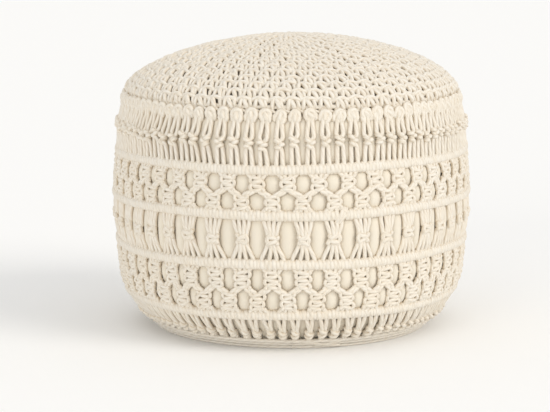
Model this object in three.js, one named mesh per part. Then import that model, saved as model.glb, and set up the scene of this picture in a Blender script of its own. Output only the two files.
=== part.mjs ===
import * as THREE from 'three';

// A macrame pouf: a filled case in a knotted cotton cover, with a crocheted crown and a coiled base.
// Millimetres. It stands on the plane z = 0, with its front towards -Y and +X to the right.
// A turn counts groups of four cords around the cover, from the front towards +X. A depth is
// measured from the inner face of the cover outwards.

const repeats = 41;
const widestRadius = 225;
const coverDepth = 9; // from the case out to the thickest cords
const clearance = 0.6; // between the case and the cover
const seam = 0.3; // between neighbouring pieces of the cover

// How far the outline is drawn in from its widest radius, from the floor up to the rim
const outlineRows = [
  { height: 0, inset: 57 },
  { height: 12, inset: 43.5 },
  { height: 26, inset: 28.7 },
  { height: 40, inset: 18.5 },
  { height: 52, inset: 12.5 },
  { height: 65, inset: 8.8 },
  { height: 80, inset: 6.8 },
  { height: 110, inset: 4 },
  { height: 140, inset: 1.2 },
  { height: 170, inset: 0 },
  { height: 200, inset: 1.4 },
  { height: 225, inset: 3.8 },
  { height: 260, inset: 7.4 },
  { height: 285, inset: 12 },
  { height: 296, inset: 15.2 },
];

// Rings of hitched strands, between which the bands of knots hang
const ringBars = [
  { name: 'ring_bar_1', low: 219, high: 231 },
  { name: 'ring_bar_2', low: 164.5, high: 176.5 },
  { name: 'ring_bar_3', low: 104.5, high: 116.5 },
  { name: 'ring_bar_4', low: 40, high: 52 },
];
const [ring1, ring2, ring3, ring4] = ringBars;

const rimHeight = 296;
const rimRadius = widestRadius - 15.2;
const crown = { rise: 69, roundness: 1.85, flatness: 1.7, ridges: 8, groove: 2.6, lean: 6 };
const base = { height: 12, floorThickness: 7, flatRadius: 150 };
const baseCoils = [
  { height: 2.4, out: 3.4 },
  { height: 4.7, out: 3.2 },
  { height: 7.1, out: 8.2 },
  { height: 9.4, out: 8 },
];

// How far each kind of cord or knot stands off the inner face of the cover
const depths = { side: 4.4, root: 5, groove: 3.4, strand: 6.2, hitch: 7.6, knot: 7.8, bundle: 8.4 };

// The groups of cords stand widest apart at the front and closest together at the sides
const spread = { front: -0.026, once: -0.08, twice: 0.038, thrice: 0.032 };
const ringTilt = 1.5; // the rings stand this much higher at the right
const ringWave = { size: 0.7, count: 5, twist: 40 };

const cottonCord = { color: 0xe9dfcc, roughness: 0.88, metalness: 0 };
const caseCloth = { color: 0xf0e7d3, roughness: 0.92, metalness: 0 };

function outlineRadius(height) {
  const above = Math.max(outlineRows.findIndex((row) => row.height >= height), 1);
  const [lower, upper] = outlineRows.slice(above - 1, above + 1);
  const share = (height - lower.height) / (upper.height - lower.height);
  return widestRadius - THREE.MathUtils.lerp(lower.inset, upper.inset, share);
}

function caseRadius(height) {
  return outlineRadius(height) - coverDepth;
}

function coverRadius(height, depth = 0) {
  return caseRadius(height) + clearance + depth;
}

function domeHeight(radius) {
  const share = radius / rimRadius;
  return rimHeight + crown.rise * (1 - share ** crown.roundness) ** (1 / crown.flatness);
}

// A point of the dome moved inwards, square to its surface
function underDome(radius, depth) {
  const step = 0.5;
  const slope = (domeHeight(radius + step) - domeHeight(Math.max(radius - step, 0))) / (2 * step);
  const length = Math.hypot(slope, 1);
  return { radius: radius + (slope / length) * depth, height: domeHeight(radius) - depth / length };
}

// The radius on the dome at a share of the way from the rim to the top, along its surface
function domeRadius(share) {
  const steps = 400;
  const radii = Array.from({ length: steps + 1 }, (_, i) => rimRadius * (1 - i / steps));
  const lengths = [0];
  radii.slice(1).forEach((radius, i) => {
    const rise = domeHeight(radius) - domeHeight(radii[i]);
    lengths.push(lengths[i] + Math.hypot(radius - radii[i], rise));
  });
  return radii[lengths.findIndex((length) => length >= share * lengths[steps])];
}

function angleAt(turn) {
  const even = (2 * Math.PI * turn) / repeats;
  const { front, once, twice, thrice } = spread;
  return front + even + once * Math.sin(even) + twice * Math.sin(2 * even) + thrice * Math.sin(3 * even);
}

// Full in the bands, and fading to nothing at the base and at the rim
function bandShare(height) {
  const rise = THREE.MathUtils.smoothstep(height, base.height, 50);
  const fall = 1 - THREE.MathUtils.smoothstep(height, 235, 285);
  return rise * fall;
}

function place(turn, height, radius) {
  const angle = angleAt(turn);
  const wave = ringWave.size * Math.sin(ringWave.count * angle + height / ringWave.twist);
  const sway = ringTilt * Math.sin(angle) + wave;
  const lean = crown.lean * THREE.MathUtils.smoothstep(height, rimHeight, rimHeight + crown.rise);
  return new THREE.Vector3(
    lean + radius * Math.sin(angle),
    -radius * Math.cos(angle),
    height + sway * bandShare(height),
  );
}

// A small hand-tied difference from -1 to 1, the same each time for the same knot
function stray(index, kind) {
  const wave = Math.sin(index * 12.99 + kind * 78.23) * 43758.5;
  return 2 * (wave - Math.floor(wave)) - 1;
}

function solidFrom(points, faces) {
  const geometry = new THREE.BufferGeometry().setFromPoints(points);
  geometry.setIndex(faces.flat());
  geometry.computeVertexNormals();
  return geometry;
}

// Points around one level of a turned piece; every second point of a rippled level stands out
function levelPoints({ radius, height, columns = repeats, ripple = 0 }) {
  return Array.from({ length: columns }, (_, column) => {
    const out = column % 2 === 0 ? ripple : -ripple;
    return place((column * repeats) / columns, height, radius + out);
  });
}

// Triangles between two levels with any counts of points, both going around the same way
function joinLevels(lower, upper) {
  const faces = [];
  let low = 0;
  let high = 0;
  while (low < lower.length || high < upper.length) {
    const lowPoint = lower[low % lower.length];
    const highPoint = upper[high % upper.length];
    const lowIsNext = (low + 1) / lower.length <= (high + 1) / upper.length;
    if (high >= upper.length || lowIsNext) {
      low += 1;
      if (lower.length > 1) faces.push([lowPoint, lower[low % lower.length], highPoint]);
    } else {
      high += 1;
      if (upper.length > 1) faces.push([lowPoint, upper[high % upper.length], highPoint]);
    }
  }
  return faces;
}

// A body of levels, from its lowest middle point out and over to its top one, or, as a hoop,
// up its outside and down its inside
function turnedBody(levels, isHoop = false) {
  const points = [];
  const rings = levels.map((level) => {
    const ring = levelPoints(level);
    const first = points.length;
    points.push(...ring);
    return ring.map((_, i) => first + i);
  });
  const faces = rings.slice(1).flatMap((ring, i) => joinLevels(rings[i], ring));
  if (isHoop) faces.push(...joinLevels(rings[rings.length - 1], rings[0]));
  return solidFrom(points, faces);
}

// A net of strands and knots around the case. Each cell is the outline of a strand or knot, with
// a front and a back, and edges that only one cell has become the sides of the cords.
class Net {
  constructor() {
    this.spots = [];
    this.fronts = [];
    this.backs = new Map();
    this.faces = [];
    this.edges = new Map();
  }

  point(turn, height, depth = depths.side) {
    this.spots.push({ turn, height });
    this.fronts.push(place(turn, height, coverRadius(height, depth)));
    return this.spots.length - 1;
  }

  behind(index) {
    if (!this.backs.has(index)) this.backs.set(index, this.fronts.length + this.backs.size);
    return this.backs.get(index);
  }

  // Rails run down the left and the right, with any points between them along the top and the
  // bottom, and a crest runs down the middle and stands furthest out
  cell({ left, right, top = [], bottom = [], crest = [] }) {
    const outline = [...left, ...bottom, ...[...right].reverse(), ...[...top].reverse()];
    const isPlain = top.length === 0 && bottom.length === 0;
    const flat = isPlain ? this.joinRails(left, right) : this.fillOutline(outline);
    const front = crest.length > 0 ? this.crested(left, right, top, bottom, crest) : flat;
    front.forEach((corners) => this.faces.push({ corners, isBack: false }));
    flat.forEach(([a, b, c]) => this.faces.push({ corners: [a, c, b], isBack: true }));
    outline.forEach((from, i) => {
      const to = outline[(i + 1) % outline.length];
      if (!this.edges.delete(`${to},${from}`)) this.edges.set(`${from},${to}`, [from, to]);
    });
  }

  fillOutline(outline) {
    const pitch = (2 * Math.PI * widestRadius) / repeats;
    const start = this.spots[outline[0]].turn;
    const contour = outline.map((index) => {
      const { turn, height } = this.spots[index];
      const across = ((turn - start + 1.5 * repeats) % repeats) - 0.5 * repeats;
      return new THREE.Vector2(across * pitch, height);
    });
    return THREE.ShapeUtils.triangulateShape(contour, []).map(([i, j, k]) => {
      const isUpright = THREE.ShapeUtils.area([contour[i], contour[j], contour[k]]) > 0;
      return (isUpright ? [i, j, k] : [i, k, j]).map((corner) => outline[corner]);
    });
  }

  crested(left, right, top, bottom, crest) {
    const head = [left[0], ...top, right[0]];
    const foot = [left[left.length - 1], ...bottom, right[right.length - 1]];
    const last = crest[crest.length - 1];
    return [
      ...head.slice(1).map((corner, i) => [crest[0], corner, head[i]]),
      ...foot.slice(1).map((corner, i) => [last, foot[i], corner]),
      ...this.joinRails(left, crest),
      ...this.joinRails(crest, right),
    ];
  }

  // Triangles between two lines of points, both going down
  joinRails(left, right) {
    const faces = [];
    const nextHeight = (line, i) => (i < line.length - 1 ? this.spots[line[i + 1]].height : -Infinity);
    let i = 0;
    let j = 0;
    while (i < left.length - 1 || j < right.length - 1) {
      if (nextHeight(left, i) >= nextHeight(right, j)) {
        faces.push([left[i], left[i + 1], right[j]]);
        i += 1;
      } else {
        faces.push([left[i], right[j + 1], right[j]]);
        j += 1;
      }
    }
    return faces;
  }

  solid() {
    const skin = this.faces.map(({ corners, isBack }) =>
      isBack ? corners.map((index) => this.behind(index)) : corners,
    );
    const sides = [...this.edges.values()].flatMap(([from, to]) => [
      [from, this.behind(from), this.behind(to)],
      [from, this.behind(to), to],
    ]);
    const backPoints = [...this.backs.keys()].map((index) => {
      const { turn, height } = this.spots[index];
      return place(turn, height, coverRadius(height));
    });
    return solidFrom([...this.fronts, ...backPoints], [...skin, ...sides]);
  }
}

// Levels that the underside of the crown and the top of the case share
const domeLevels = [
  { radius: 207, columns: repeats },
  { radius: 174, columns: repeats },
  { radius: 145, columns: repeats },
  { radius: 105, columns: 20 },
  { radius: 60, columns: 20 },
  { radius: 0, columns: 1 },
];

function innerCase() {
  const bottom = base.floorThickness + clearance;
  const sideHeights = [13, 26, 40, 52, 80, 170, 225, 260, 290];
  return turnedBody([
    { radius: 0, height: bottom, columns: 1 },
    { radius: base.flatRadius, height: bottom },
    ...sideHeights.map((height) => ({ radius: caseRadius(height), height })),
    ...domeLevels.map(({ radius, columns }) => ({ ...underDome(radius, coverDepth), columns })),
  ]);
}

// A dome of ridges, each of which stands for two crocheted rounds
function crochetCrown() {
  const rim = rimHeight + seam;
  const underside = domeLevels.map(({ radius, columns }) => ({
    ...underDome(radius, coverDepth - clearance),
    columns,
  }));
  const columnsAt = (radius) => (radius > 95 ? repeats : radius > 42 ? 20 : 10);
  const lines = 2 * crown.ridges;
  const top = Array.from({ length: lines - 1 }, (_, i) => {
    const radius = domeRadius((i + 0.7) / lines);
    return { ...underDome(radius, i % 2 === 0 ? 0 : crown.groove), columns: columnsAt(radius) };
  });
  return turnedBody([
    ...underside.reverse(),
    { radius: coverRadius(rimHeight), height: rim },
    { radius: rimRadius - crown.groove, height: rim },
    ...top,
    { radius: 0, height: domeHeight(0), columns: 1 },
  ]);
}

// A flat floor of coiled cord, with the two outer coils stepping up and out
function coiledBase() {
  const footRadius = outlineRadius(0);
  return turnedBody([
    { radius: 0, height: 0, columns: 1 },
    { radius: footRadius, height: 0 },
    ...baseCoils.map(({ height, out }) => ({ radius: footRadius + out, height })),
    { radius: coverRadius(base.height, depths.hitch), height: base.height },
    { radius: coverRadius(base.height), height: base.height },
    { radius: base.flatRadius + 2, height: base.floorThickness },
    { radius: 0, height: base.floorThickness, columns: 1 },
  ]);
}

// A carrier cord with the strands hitched over it, a ridge for each pair of strands
function ringBar({ low, high }) {
  const bottom = low + seam / 2;
  const top = high - seam / 2;
  const middle = (low + high) / 2;
  const level = (height, depth) => ({ radius: coverRadius(height, depth), height });
  const ridges = { ...level(middle, depths.hitch), columns: 4 * repeats, ripple: 0.8 };
  return turnedBody(
    [level(bottom, depths.strand), ridges, level(top, depths.strand), level(top, 0), level(bottom, 0)],
    true,
  );
}

// Pairs of strands that come together in a row of small knots above the base
function hemStrandBand() {
  const bottom = base.height + seam;
  const top = ring4.low - seam / 2;
  const knots = { height: 19, ripple: 1.6 };
  const bend = 26;
  const level = (height, depth) => ({ radius: coverRadius(height, depth), height });
  return turnedBody(
    [
      level(bottom, depths.root),
      { ...level(knots.height, depths.strand), columns: 4 * repeats, ripple: knots.ripple },
      level(top, depths.strand),
      level(top, 0),
      level(bend, 0),
      level(bottom, 0),
    ],
    true,
  );
}

// Pairs of strands from the rim down to the first ring, each tied once halfway
function rimStrandBand() {
  const net = new Net();
  const count = 2 * repeats;
  const root = 284;
  const knot = { height: 256, sway: 0.02, lift: 2 };
  const foot = ring1.high + seam / 2;
  const half = { root: 0.185, knot: 0.2, foot: 0.175 };
  const rim = Array.from({ length: count }, (_, i) => net.point(i / 2, rimHeight, depths.strand));
  const pairs = Array.from({ length: count }, (_, i) => {
    const centre = i / 2 + 0.25;
    const knotCentre = centre + knot.sway * stray(i, 1);
    const knotHeight = knot.height + knot.lift * stray(i, 2);
    const rail = (side) => [
      net.point(centre + side * half.root, root),
      net.point(knotCentre + side * half.knot, knotHeight),
      net.point(centre + side * half.foot, foot),
    ];
    return {
      left: rail(-1),
      right: rail(1),
      crest: [net.point(knotCentre, knotHeight, depths.hitch)],
      rimCrest: [net.point(centre, (root + rimHeight) / 2, depths.knot)],
    };
  });
  pairs.forEach(({ left, right, crest, rimCrest }, i) => {
    const next = pairs[(i + 1) % count];
    const corner = rim[(i + 1) % count];
    net.cell({ left, right, crest });
    net.cell({ left: [rim[i], left[0]], right: [corner, right[0]], crest: rimCrest });
    net.cell({ left: [corner, right[0]], right: [next.left[0]] });
  });
  return net.solid();
}

// Two rows of square-knot blocks, the lower row set half a group along from the upper one
function squareKnotBand({ high, low, shift }) {
  const net = new Net();
  const middle = (high + low) / 2;
  const rise = (high - low) / 4;
  const half = { end: 0.25, middle: 0.275 };
  const crossing = { at: 0.25, reach: 0.065, slant: 1.5, sway: 0.015 };

  // Where strands of an upper block cross over into a lower one
  function cross(turn, height, slope) {
    return [-1, 1].map((side) =>
      net.point(turn + side * crossing.reach, height + side * slope * crossing.slant),
    );
  }

  function block(turn, height, edgeHeight, kind) {
    const lean = crossing.sway * stray(turn, kind);
    const side = (sign) => [
      net.point(turn + sign * half.end, edgeHeight),
      net.point(turn + lean + sign * half.middle, height),
    ];
    return { left: side(-1), right: side(1), crest: [net.point(turn + lean, height, depths.knot)] };
  }

  const crossings = Array.from({ length: repeats }, (_, i) => {
    const turn = i + shift + crossing.at + crossing.sway * stray(i, 3);
    const height = middle + stray(i, 4);
    return { falling: cross(turn, height, -1), rising: cross(turn + 0.5, height, 1) };
  });

  crossings.forEach(({ falling, rising }, i) => {
    const before = crossings[(i + repeats - 1) % repeats].rising;
    const upper = block(i + shift, high - rise, high, 5);
    const lower = block(i + shift + 0.5, low + rise, low, 6);
    net.cell({
      left: [...upper.left, before[0]],
      bottom: [before[1], falling[0]],
      right: [...upper.right, falling[1]],
      crest: upper.crest,
    });
    net.cell({
      left: [falling[0], ...lower.left.reverse()],
      top: [falling[1], rising[0]],
      right: [rising[1], ...lower.right.reverse()],
      crest: lower.crest,
    });
  });
  return net.solid();
}

// Bundles of four strands, each gathered into a flat knot halfway down
function gatheredKnotBand() {
  const net = new Net();
  const high = ring2.low - seam / 2;
  const low = ring3.high + seam / 2;
  const knot = { high: 147, low: 134.5, half: 0.165, sway: 0.025, lift: 1.8, crest: 3 };
  const fan = { above: 0.3, below: 0.43, crestAt: [0.12, 0.88] };
  const rootHeight = 2.4;

  function row(turn, height, half, depth) {
    return [
      net.point(turn - half, height, depth),
      net.point(turn, height, depth - depths.side + depths.groove),
      net.point(turn + half, height, depth),
    ];
  }

  function between(a, b, share) {
    const [from, to] = [net.spots[a], net.spots[b]];
    return {
      turn: THREE.MathUtils.lerp(from.turn, to.turn, share),
      height: THREE.MathUtils.lerp(from.height, to.height, share),
    };
  }

  // Two pairs of strands with a groove between them
  function addFan(head, foot) {
    for (const side of [0, 1]) {
      const crest = fan.crestAt.map((share) => {
        const left = between(head[side], foot[side], share);
        const right = between(head[side + 1], foot[side + 1], share);
        return net.point((left.turn + right.turn) / 2, left.height, depths.strand);
      });
      net.cell({ left: [head[side], foot[side]], right: [head[side + 1], foot[side + 1]], crest });
    }
  }

  const corners = Array.from({ length: repeats }, (_, i) => net.point(i, low));
  const feet = corners.map((_, i) => {
    const turn = i + 0.5;
    const knotTurn = turn + knot.sway * stray(i, 7);
    const lift = knot.lift * stray(i, 8);
    const middle = (knot.high + knot.low) / 2 + lift;
    const head = row(turn, high, fan.above, depths.side);
    const upper = row(knotTurn, knot.high + lift, knot.half, depths.root);
    const lower = row(knotTurn, knot.low + lift, knot.half, depths.root);
    const foot = row(turn, low + rootHeight, fan.below, depths.side);
    const crest = [1, -1].map((side) => net.point(knotTurn, middle + side * knot.crest, depths.bundle));
    addFan(head, upper);
    addFan(lower, foot);
    net.cell({
      left: [upper[0], lower[0]],
      top: [upper[1]],
      right: [upper[2], lower[2]],
      bottom: [lower[1]],
      crest,
    });
    return foot;
  });

  // The strands spread until each bundle meets the next one on the ring below
  feet.forEach((foot, i) => {
    const corner = corners[(i + 1) % repeats];
    net.cell({ left: [foot[0], corners[i]], top: [foot[1]], right: [foot[2], corner] });
    net.cell({ left: [foot[2], corner], right: [feet[(i + 1) % repeats][0]] });
  });
  return net.solid();
}

function mesh(name, geometry, look) {
  const made = new THREE.Mesh(geometry, new THREE.MeshStandardMaterial({ ...look, flatShading: true }));
  made.name = name;
  return made;
}

function blockBand(above, below, shift) {
  return squareKnotBand({ high: above.low - seam / 2, low: below.high + seam / 2, shift });
}

const pouf = new THREE.Group();
pouf.add(
  mesh('inner_case', innerCase(), caseCloth),
  mesh('crochet_crown', crochetCrown(), cottonCord),
  mesh('rim_strand_band', rimStrandBand(), cottonCord),
  mesh('upper_square_knot_band', blockBand(ring1, ring2, 0), cottonCord),
  mesh('gathered_knot_band', gatheredKnotBand(), cottonCord),
  mesh('lower_square_knot_band', blockBand(ring3, ring4, 0.5), cottonCord),
  mesh('hem_strand_band', hemStrandBand(), cottonCord),
  mesh('coiled_base', coiledBase(), cottonCord),
  ...ringBars.map((bar) => mesh(bar.name, ringBar(bar), cottonCord)),
);

export default pouf;
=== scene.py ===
import math

import bpy
import numpy as np
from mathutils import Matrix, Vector


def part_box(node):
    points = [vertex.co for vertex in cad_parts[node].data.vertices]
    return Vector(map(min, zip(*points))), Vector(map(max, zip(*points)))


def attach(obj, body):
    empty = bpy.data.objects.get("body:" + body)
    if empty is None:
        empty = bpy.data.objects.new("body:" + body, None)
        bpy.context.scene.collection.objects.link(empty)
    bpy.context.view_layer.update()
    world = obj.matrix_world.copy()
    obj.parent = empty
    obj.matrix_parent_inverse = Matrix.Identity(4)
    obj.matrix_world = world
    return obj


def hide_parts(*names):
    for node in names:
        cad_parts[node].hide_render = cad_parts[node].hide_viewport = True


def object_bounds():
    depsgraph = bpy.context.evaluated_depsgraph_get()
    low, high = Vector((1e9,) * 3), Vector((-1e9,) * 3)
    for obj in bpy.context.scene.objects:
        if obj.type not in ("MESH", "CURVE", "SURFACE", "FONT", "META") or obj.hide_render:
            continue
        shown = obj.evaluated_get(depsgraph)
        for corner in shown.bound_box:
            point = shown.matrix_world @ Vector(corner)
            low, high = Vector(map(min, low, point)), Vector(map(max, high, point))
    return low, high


# A macrame pouf: a filled cotton case inside a cover of knotted, hitched and crocheted cord.
# Sizes are millimetres and become metres when a mesh is written. A turn counts the groups of
# four cords around the cover, from the front towards the right. Along is measured up the
# outside from the floor and over the crown. A depth is measured outwards from the inner face
# of the cover, square to it.
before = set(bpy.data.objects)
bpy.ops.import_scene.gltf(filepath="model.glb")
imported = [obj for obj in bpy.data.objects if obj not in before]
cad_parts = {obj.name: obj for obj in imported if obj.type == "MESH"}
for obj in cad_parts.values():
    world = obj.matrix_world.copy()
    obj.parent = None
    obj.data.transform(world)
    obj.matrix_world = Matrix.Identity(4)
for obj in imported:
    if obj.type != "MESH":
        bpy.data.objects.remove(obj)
cadLow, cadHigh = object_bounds()
millimetre = 0.001  # in metres
perMetre = 1000  # millimetres
fullTurn = 2 * math.pi

# Here places are in metres, the angle in degrees and the lens in millimetres
studio = {
    "cameraPlace": (-0.0205, -3.0, 0.634), "lookDown": 9.23, "lens": 157.2, "sensor": 36.0,
    "floorSize": 40.0, "floorColor": (0.98, 0.98, 0.975), "floorRoughness": 0.9,
    "skyColor": (1.0, 1.0, 0.995), "skyStrength": 0.77,
}


def addObject(name, data):
    added = bpy.data.objects.new(name, data)
    bpy.context.scene.collection.objects.link(added)
    return added


def placeCamera():
    data = bpy.data.cameras.new("studioCamera")
    data.lens = studio["lens"]
    data.sensor_width = studio["sensor"]
    camera = addObject("studioCamera", data)
    camera.location = studio["cameraPlace"]
    camera.rotation_euler = (math.radians(90 - studio["lookDown"]), 0, 0)
    bpy.context.scene.camera = camera
    bpy.context.scene.view_settings.view_transform = "Standard"


placeCamera()
print("camera placed")

# How far the outline is drawn in from the widest radius at each height, the dome above it, how
# the groups are spread, and how the bands sway and the crown leans
pouf = {
    "groups": 41, "widest": perMetre * (cadHigh.x - cadLow.x) / 2, "top": perMetre * cadHigh.z,
    "height": (0, 12, 26, 40, 52, 65, 80, 110, 140, 170, 200, 225, 260, 285, 296),
    "inset": (57, 43.5, 28.7, 18.5, 12.5, 8.8, 6.8, 4, 1.2, 0, 1.4, 3.8, 7.4, 12, 15.2),
    "roundness": 1.85, "flatness": 1.7, "sideSteps": 200, "domeSteps": 240, "outlineSteps": 600,
    "coverDepth": 8.4, "front": -0.026, "spread": (-0.08, 0.038, 0.032), "roundSteps": 240,
    "tilt": 1.5, "wave": 0.7, "waves": 5, "waveTwist": 40, "bandEnds": (12, 50, 235, 285), "lean": 6,
}
rimHeight = pouf["height"][-1]
rimRadius = pouf["widest"] - pouf["inset"][-1]


# 0 up to the low value, 1 from the high one, and 3 t t - 2 t t t between them
def easeBetween(low, high, value):
    share = np.clip((value - low) / (high - low), 0, 1)
    return share * share * (3 - 2 * share)


# The value that is a share of the way from the first to the last
def partWay(first, last, share):
    return first + (last - first) * share


# A cubic through each pair of neighbouring rows, with the slopes of the table at its ends
def smoothLine(value, places, sizes):
    places, sizes = np.asarray(places, float), np.asarray(sizes, float)
    slopes = np.gradient(sizes, places)
    row = np.clip(np.searchsorted(places, value) - 1, 0, len(places) - 2)
    width = places[row + 1] - places[row]
    t = (value - places[row]) / width
    start = (1 + 2 * t) * (1 - t) ** 2 * sizes[row] + t * (1 - t) ** 2 * width * slopes[row]
    end = t * t * (3 - 2 * t) * sizes[row + 1] + t * t * (t - 1) * width * slopes[row + 1]
    return start + end


# The outline from the floor to the middle of the crown: the table's curve, then a dome whose
# height is rim + rise * (1 - share of the radius ^ roundness) ^ (1 / flatness)
def traceProfile():
    heights = np.linspace(0, rimHeight, pouf["sideSteps"])
    radii = pouf["widest"] - smoothLine(heights, pouf["height"], pouf["inset"])
    share = np.cos(np.linspace(0, math.pi / 2, pouf["domeSteps"]))[1:]
    domeRise = pouf["top"] - rimHeight
    domeHeights = rimHeight + domeRise * (1 - share ** pouf["roundness"]) ** (1 / pouf["flatness"])
    r = np.concatenate([radii, rimRadius * share])
    z = np.concatenate([heights, domeHeights])
    along = np.concatenate([[0], np.cumsum(np.hypot(np.diff(r), np.diff(z)))])
    even = np.linspace(0, along[-1], pouf["outlineSteps"])
    r, z = np.interp(even, along, r), np.interp(even, along, z)
    slopeR, slopeZ = np.gradient(r, even), np.gradient(z, even)
    length = np.hypot(slopeR, slopeZ)
    return {"along": even, "r": r, "z": z, "outR": slopeZ / length, "outZ": -slopeR / length}


profile = traceProfile()
rimAlong = float(np.interp(rimHeight, profile["z"], profile["along"]))
topAlong = float(profile["along"][-1])


def alongAt(height):
    return np.interp(height, profile["z"], profile["along"])


def radiusAt(along):
    return np.interp(along, profile["along"], profile["r"])


# The groups stand wider apart at the front than at the sides: the even angle plus three sines
def angleAt(turn):
    even = fullTurn * np.asarray(turn, float) / pouf["groups"]
    waves = sum(size * np.sin(count * even) for count, size in enumerate(pouf["spread"], 1))
    return pouf["front"] + even + waves


# The millimetres between two places on the same level
def gapBetween(turn0, turn1, height):
    return radiusAt(alongAt(height)) * (angleAt(turn1) - angleAt(turn0))


# A place on the cover: the profile turned about the upright axis and moved out by the depth.
# The bands sway up and down by tilt * sin(angle) and a small wave, and the crown leans right.
def coverPlace(angle, along, depth):
    angle, along, depth = np.broadcast_arrays(angle, along, depth)
    r, z, outR, outZ = (np.interp(along, profile["along"], profile[k]) for k in ("r", "z", "outR", "outZ"))
    out = depth - pouf["coverDepth"]
    low, lowFull, highFull, high = pouf["bandEnds"]
    share = easeBetween(low, lowFull, z) * (1 - easeBetween(highFull, high, z))
    wave = pouf["wave"] * np.sin(pouf["waves"] * angle + z / pouf["waveTwist"])
    sway = (pouf["tilt"] * np.sin(angle) + wave) * share
    lean = pouf["lean"] * easeBetween(rimHeight, pouf["top"], z)
    reach = r + outR * out
    return np.stack([lean + reach * np.sin(angle), -reach * np.cos(angle), z + outZ * out + sway], -1)


# A place in a band: across is millimetres to the right of the turn
def bandPlace(turn, height, depth, across=0.0):
    along = alongAt(height)
    return coverPlace(angleAt(turn) + across / radiusAt(along), along, depth)


polarMiddle = 180.0  # the height that directions out of the cover are taken from
profilePolar = np.arctan2(profile["z"] - polarMiddle, profile["r"])


# The direction out of the cover near each point: the profile's at the same angle from its middle
def outwardAt(points):
    reach = np.hypot(points[..., 0], points[..., 1])
    polar = np.arctan2(points[..., 2] - polarMiddle, reach)
    outR, outZ = (np.interp(polar, profilePolar, profile[k]) for k in ("outR", "outZ"))
    level = points[..., :2] / np.maximum(reach, 1)[..., None]
    return np.concatenate([level * outR[..., None], outZ[..., None]], -1)


# Points around the middle, at an angle from the front towards the right
def roundPlace(angle, radius, height):
    return np.stack([radius * np.sin(angle), -radius * np.cos(angle), height + 0 * angle], -1)


# The four corners of each cell of a texture grid, around the cell
def cellCorners(u0, v0, u1, v1):
    return np.stack([np.stack(pair, -1) for pair in ((u0, v0), (u1, v0), (u1, v1), (u0, v1))], -2)


# The values raised to a power, with their signs kept: below 1 it makes a wave squarer
def squareOff(values, power):
    return np.sign(values) * np.abs(values) ** power


# How far a cord's ends are rounded, in radii, how level a path runs where its ring starts upright,
# the texture's millimetres for a unit and its shift from cord to cord, and how far a flank faces
# out of the cover where its painted shade is full and where it ends
sweep = {"endRound": 0.6, "runsLevel": 0.9, "textureUnit": 10, "textureShift": 7.3, "shiftRange": 5,
         "flank": (-0.3, 0.65)}
# The corners of a ring around a hanging strand, around a knotted cord and around a hidden one
strandSides, knotSides, hiddenSides = 7, 6, 5


# The direction ahead along each path, and a side direction that starts level with the cover and
# turns with the path as little as it can: at each step it is made square to the path again
def carryAlong(paths):
    ahead = np.gradient(paths, axis=1)
    ahead /= np.linalg.norm(ahead, axis=2, keepdims=True)
    nudge = [1e-6, 0, 0]  # for a path that starts right in the middle
    level = np.stack([-paths[:, 0, 1], paths[:, 0, 0], 0 * paths[:, 0, 0]], -1) + nudge
    level /= np.linalg.norm(level, axis=1, keepdims=True)
    isAcross = np.abs((level * ahead[:, 0]).sum(1, keepdims=True)) > sweep["runsLevel"]
    before = np.where(isAcross, [0.0, 0.0, 1.0], level)
    side = np.zeros_like(paths)
    for step in range(paths.shape[1]):
        square = before - (before * ahead[:, step]).sum(1, keepdims=True) * ahead[:, step]
        before = square / np.linalg.norm(square, axis=1, keepdims=True)
        side[:, step] = before
    return ahead, side


# A cord's points are its rings, one after another, and then its two end points. Its faces are
# squares between the rings, and a fan of triangles to either end point.
def cordFaces(count, steps, sides):
    own = steps * sides + 2
    start = own * np.arange(count)[:, None]
    low = start[:, :, None] + sides * np.arange(steps - 1)[:, None]
    k, after = np.arange(sides), (np.arange(sides) + 1) % sides
    quads = np.stack([low + k, low + after, low + sides + after, low + sides + k], -1)
    head, tail = start + own - 2 + 0 * k, start + own - 1 + 0 * k
    end = start + (steps - 1) * sides
    fans = [np.stack([head, start + after, start + k], -1), np.stack([tail, end + k, end + after], -1)]
    return quads.reshape(-1, 4), np.stack(fans, 1).reshape(-1, 3)


# The texture runs once around the cord, and along it by the length over the texture's unit
def cordTexture(paths, sides):
    count, k = len(paths), np.arange(sides)
    shift = sweep["textureShift"] * np.arange(count)[:, None] % sweep["shiftRange"]
    length = np.linalg.norm(np.diff(paths, axis=1), axis=2).cumsum(1)
    run = np.concatenate([np.zeros((count, 1)), length], 1) / sweep["textureUnit"] + shift
    u0, v0, v1 = np.broadcast_arrays(k / sides, run[:, :-1, None], run[:, 1:, None])
    middle, here, following = np.full(sides, 0.5), k / sides, (k + 1) / sides
    head, tail = np.stack([middle, following, here], -1), np.stack([middle, here, following], -1)
    ends = ((head, run[:, :1, None]), (tail, run[:, -1:, None]))
    caps = [np.stack(np.broadcast_arrays(u, v), -1) for u, v in ends]
    walls = cellCorners(u0, v0, u0 + 1 / sides, v1)
    return np.concatenate([walls.reshape(-1, 2), np.stack(caps, 1).reshape(-1, 2)])
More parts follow.
